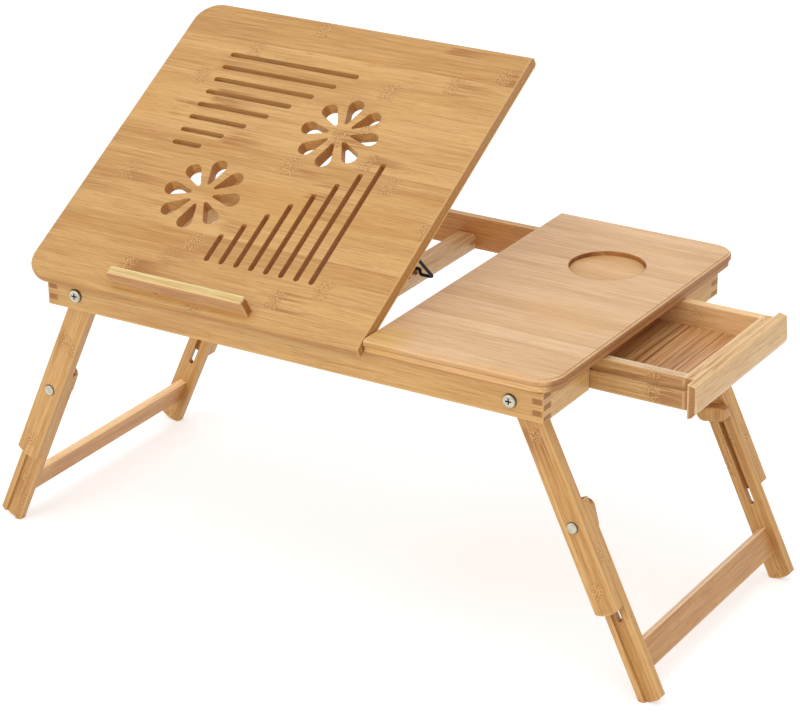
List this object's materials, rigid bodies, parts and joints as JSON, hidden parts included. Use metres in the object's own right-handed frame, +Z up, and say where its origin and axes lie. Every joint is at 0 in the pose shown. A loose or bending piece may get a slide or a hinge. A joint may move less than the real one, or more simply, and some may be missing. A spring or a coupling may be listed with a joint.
{
  "type": "laptop stand with drawer",
  "caption": "Folding bed-tray laptop stand with a tilting vented panel, a fixed side top with cup recess, a side drawer and splayed extending legs.",
  "frame": {"origin": "centre of the frame's footprint, on the floor", "axes": "+X towards the drawer's side, +Y to the back (the ledge is at -Y), +Z up"},
  "size_m": [0.7277, 0.3626, 0.4676],
  "materials": {
    "bamboo": "clear satin lacquer",
    "bamboo_pale": "clear satin lacquer",
    "bamboo_dark": "clear satin lacquer, darker strips",
    "turned_wood": "satin",
    "black_wire": "black coated wire",
    "zinc_steel": "bright zinc plate",
    "brass_plate": "brass plated steel"
  },
  "bodies": {
    "stand": {"front_rail": "bamboo", "back_rail": "bamboo", "left_rail": "bamboo", "right_stub_front": "bamboo", "right_stub_back": "bamboo", "fixed_top": "bamboo_pale", "rack_rail": "bamboo", "drawer_runner_front": "bamboo", "drawer_runner_back": "bamboo", "frame_leaf_left": "brass_plate", "frame_leaf_right": "brass_plate", "hinge_pins": "brass_plate", "frame_leaf_screws": "brass_plate", "pivot_screws": "zinc_steel", "pivot_washers": "zinc_steel"},
    "panel": {"tilt_panel": "bamboo", "ledge_bar": "bamboo", "panel_leaf_left": "brass_plate", "panel_leaf_right": "brass_plate", "panel_leaf_screws": "brass_plate", "prop_clip_left": "brass_plate", "prop_clip_right": "brass_plate", "prop_clip_screws": "brass_plate"},
    "prop": {"prop_wire": "black_wire"},
    "drawer": {"drawer_side_front": "bamboo", "drawer_side_back": "bamboo", "drawer_front_wall": "bamboo", "drawer_tail_wall": "bamboo", "drawer_bottom": "bamboo_dark", "drawer_face_board": "bamboo"},
    "upper_legs_right": {"upper_leg_right_front": "bamboo", "upper_leg_right_back": "bamboo", "leg_bolts_right": "zinc_steel"},
    "lower_legs_right": {"lower_leg_right_front": "bamboo", "lower_leg_right_back": "bamboo", "stretcher_right": "bamboo"},
    "knob_right_front": {"knob_right_front": "turned_wood"},
    "knob_right_back": {"knob_right_back": "turned_wood"},
    "upper_legs_left": {"upper_leg_left_front": "bamboo", "upper_leg_left_back": "bamboo", "leg_bolts_left": "zinc_steel"},
    "lower_legs_left": {"lower_leg_left_front": "bamboo", "lower_leg_left_back": "bamboo", "stretcher_left": "bamboo"},
    "knob_left_front": {"knob_left_front": "turned_wood"},
    "knob_left_back": {"knob_left_back": "turned_wood"}
  },
  "joints": [
    {"name": "panel_tilt", "type": "hinge", "parent": "stand", "child": "panel", "pos_m": [0, -0.166, 0.281], "axis": [1, 0, 0], "range_deg": [-30.3, 0]},
    {"name": "prop_fold", "type": "hinge", "parent": "panel", "child": "prop", "pos_m": [0, -0.04394, 0.35655], "axis": [1, 0, 0], "range_deg": [0, 74]},
    {"name": "drawer_slide", "type": "slide", "parent": "stand", "child": "drawer", "axis": [1, 0, 0], "range_m": [-0.0975, 0.02]},
    {"name": "legs_fold_right", "type": "hinge", "parent": "stand", "child": "upper_legs_right", "pos_m": [0.2282, 0, 0.27], "axis": [0, -1, 0], "range_deg": [-107, 0]},
    {"name": "legs_slide_right", "type": "slide", "parent": "upper_legs_right", "child": "lower_legs_right", "axis": [0.4187, 0, -0.9081], "range_m": [-0.092, 0]},
    {"name": "knob_turn_right_front", "type": "hinge", "parent": "upper_legs_right", "child": "knob_right_front", "pos_m": [0.28011, -0.12, 0.15739], "axis": [0, 1, 0], "continuous": true},
    {"name": "knob_turn_right_back", "type": "hinge", "parent": "upper_legs_right", "child": "knob_right_back", "pos_m": [0.28011, 0.12, 0.15739], "axis": [0, 1, 0], "continuous": true},
    {"name": "legs_fold_left", "type": "hinge", "parent": "stand", "child": "upper_legs_left", "pos_m": [-0.2282, 0, 0.27], "axis": [0, 1, 0], "range_deg": [-107, 0]},
    {"name": "legs_slide_left", "type": "slide", "parent": "upper_legs_left", "child": "lower_legs_left", "axis": [-0.4187, 0, -0.9081], "range_m": [-0.092, 0]},
    {"name": "knob_turn_left_front", "type": "hinge", "parent": "upper_legs_left", "child": "knob_left_front", "pos_m": [-0.28011, -0.12, 0.15739], "axis": [0, 1, 0], "continuous": true},
    {"name": "knob_turn_left_back", "type": "hinge", "parent": "upper_legs_left", "child": "knob_left_back", "pos_m": [-0.28011, 0.12, 0.15739], "axis": [0, 1, 0], "continuous": true}
  ],
  "couplings": [
    {"joint": "prop_fold", "follows": "panel_tilt", "ratio": -2.44}
  ]
}
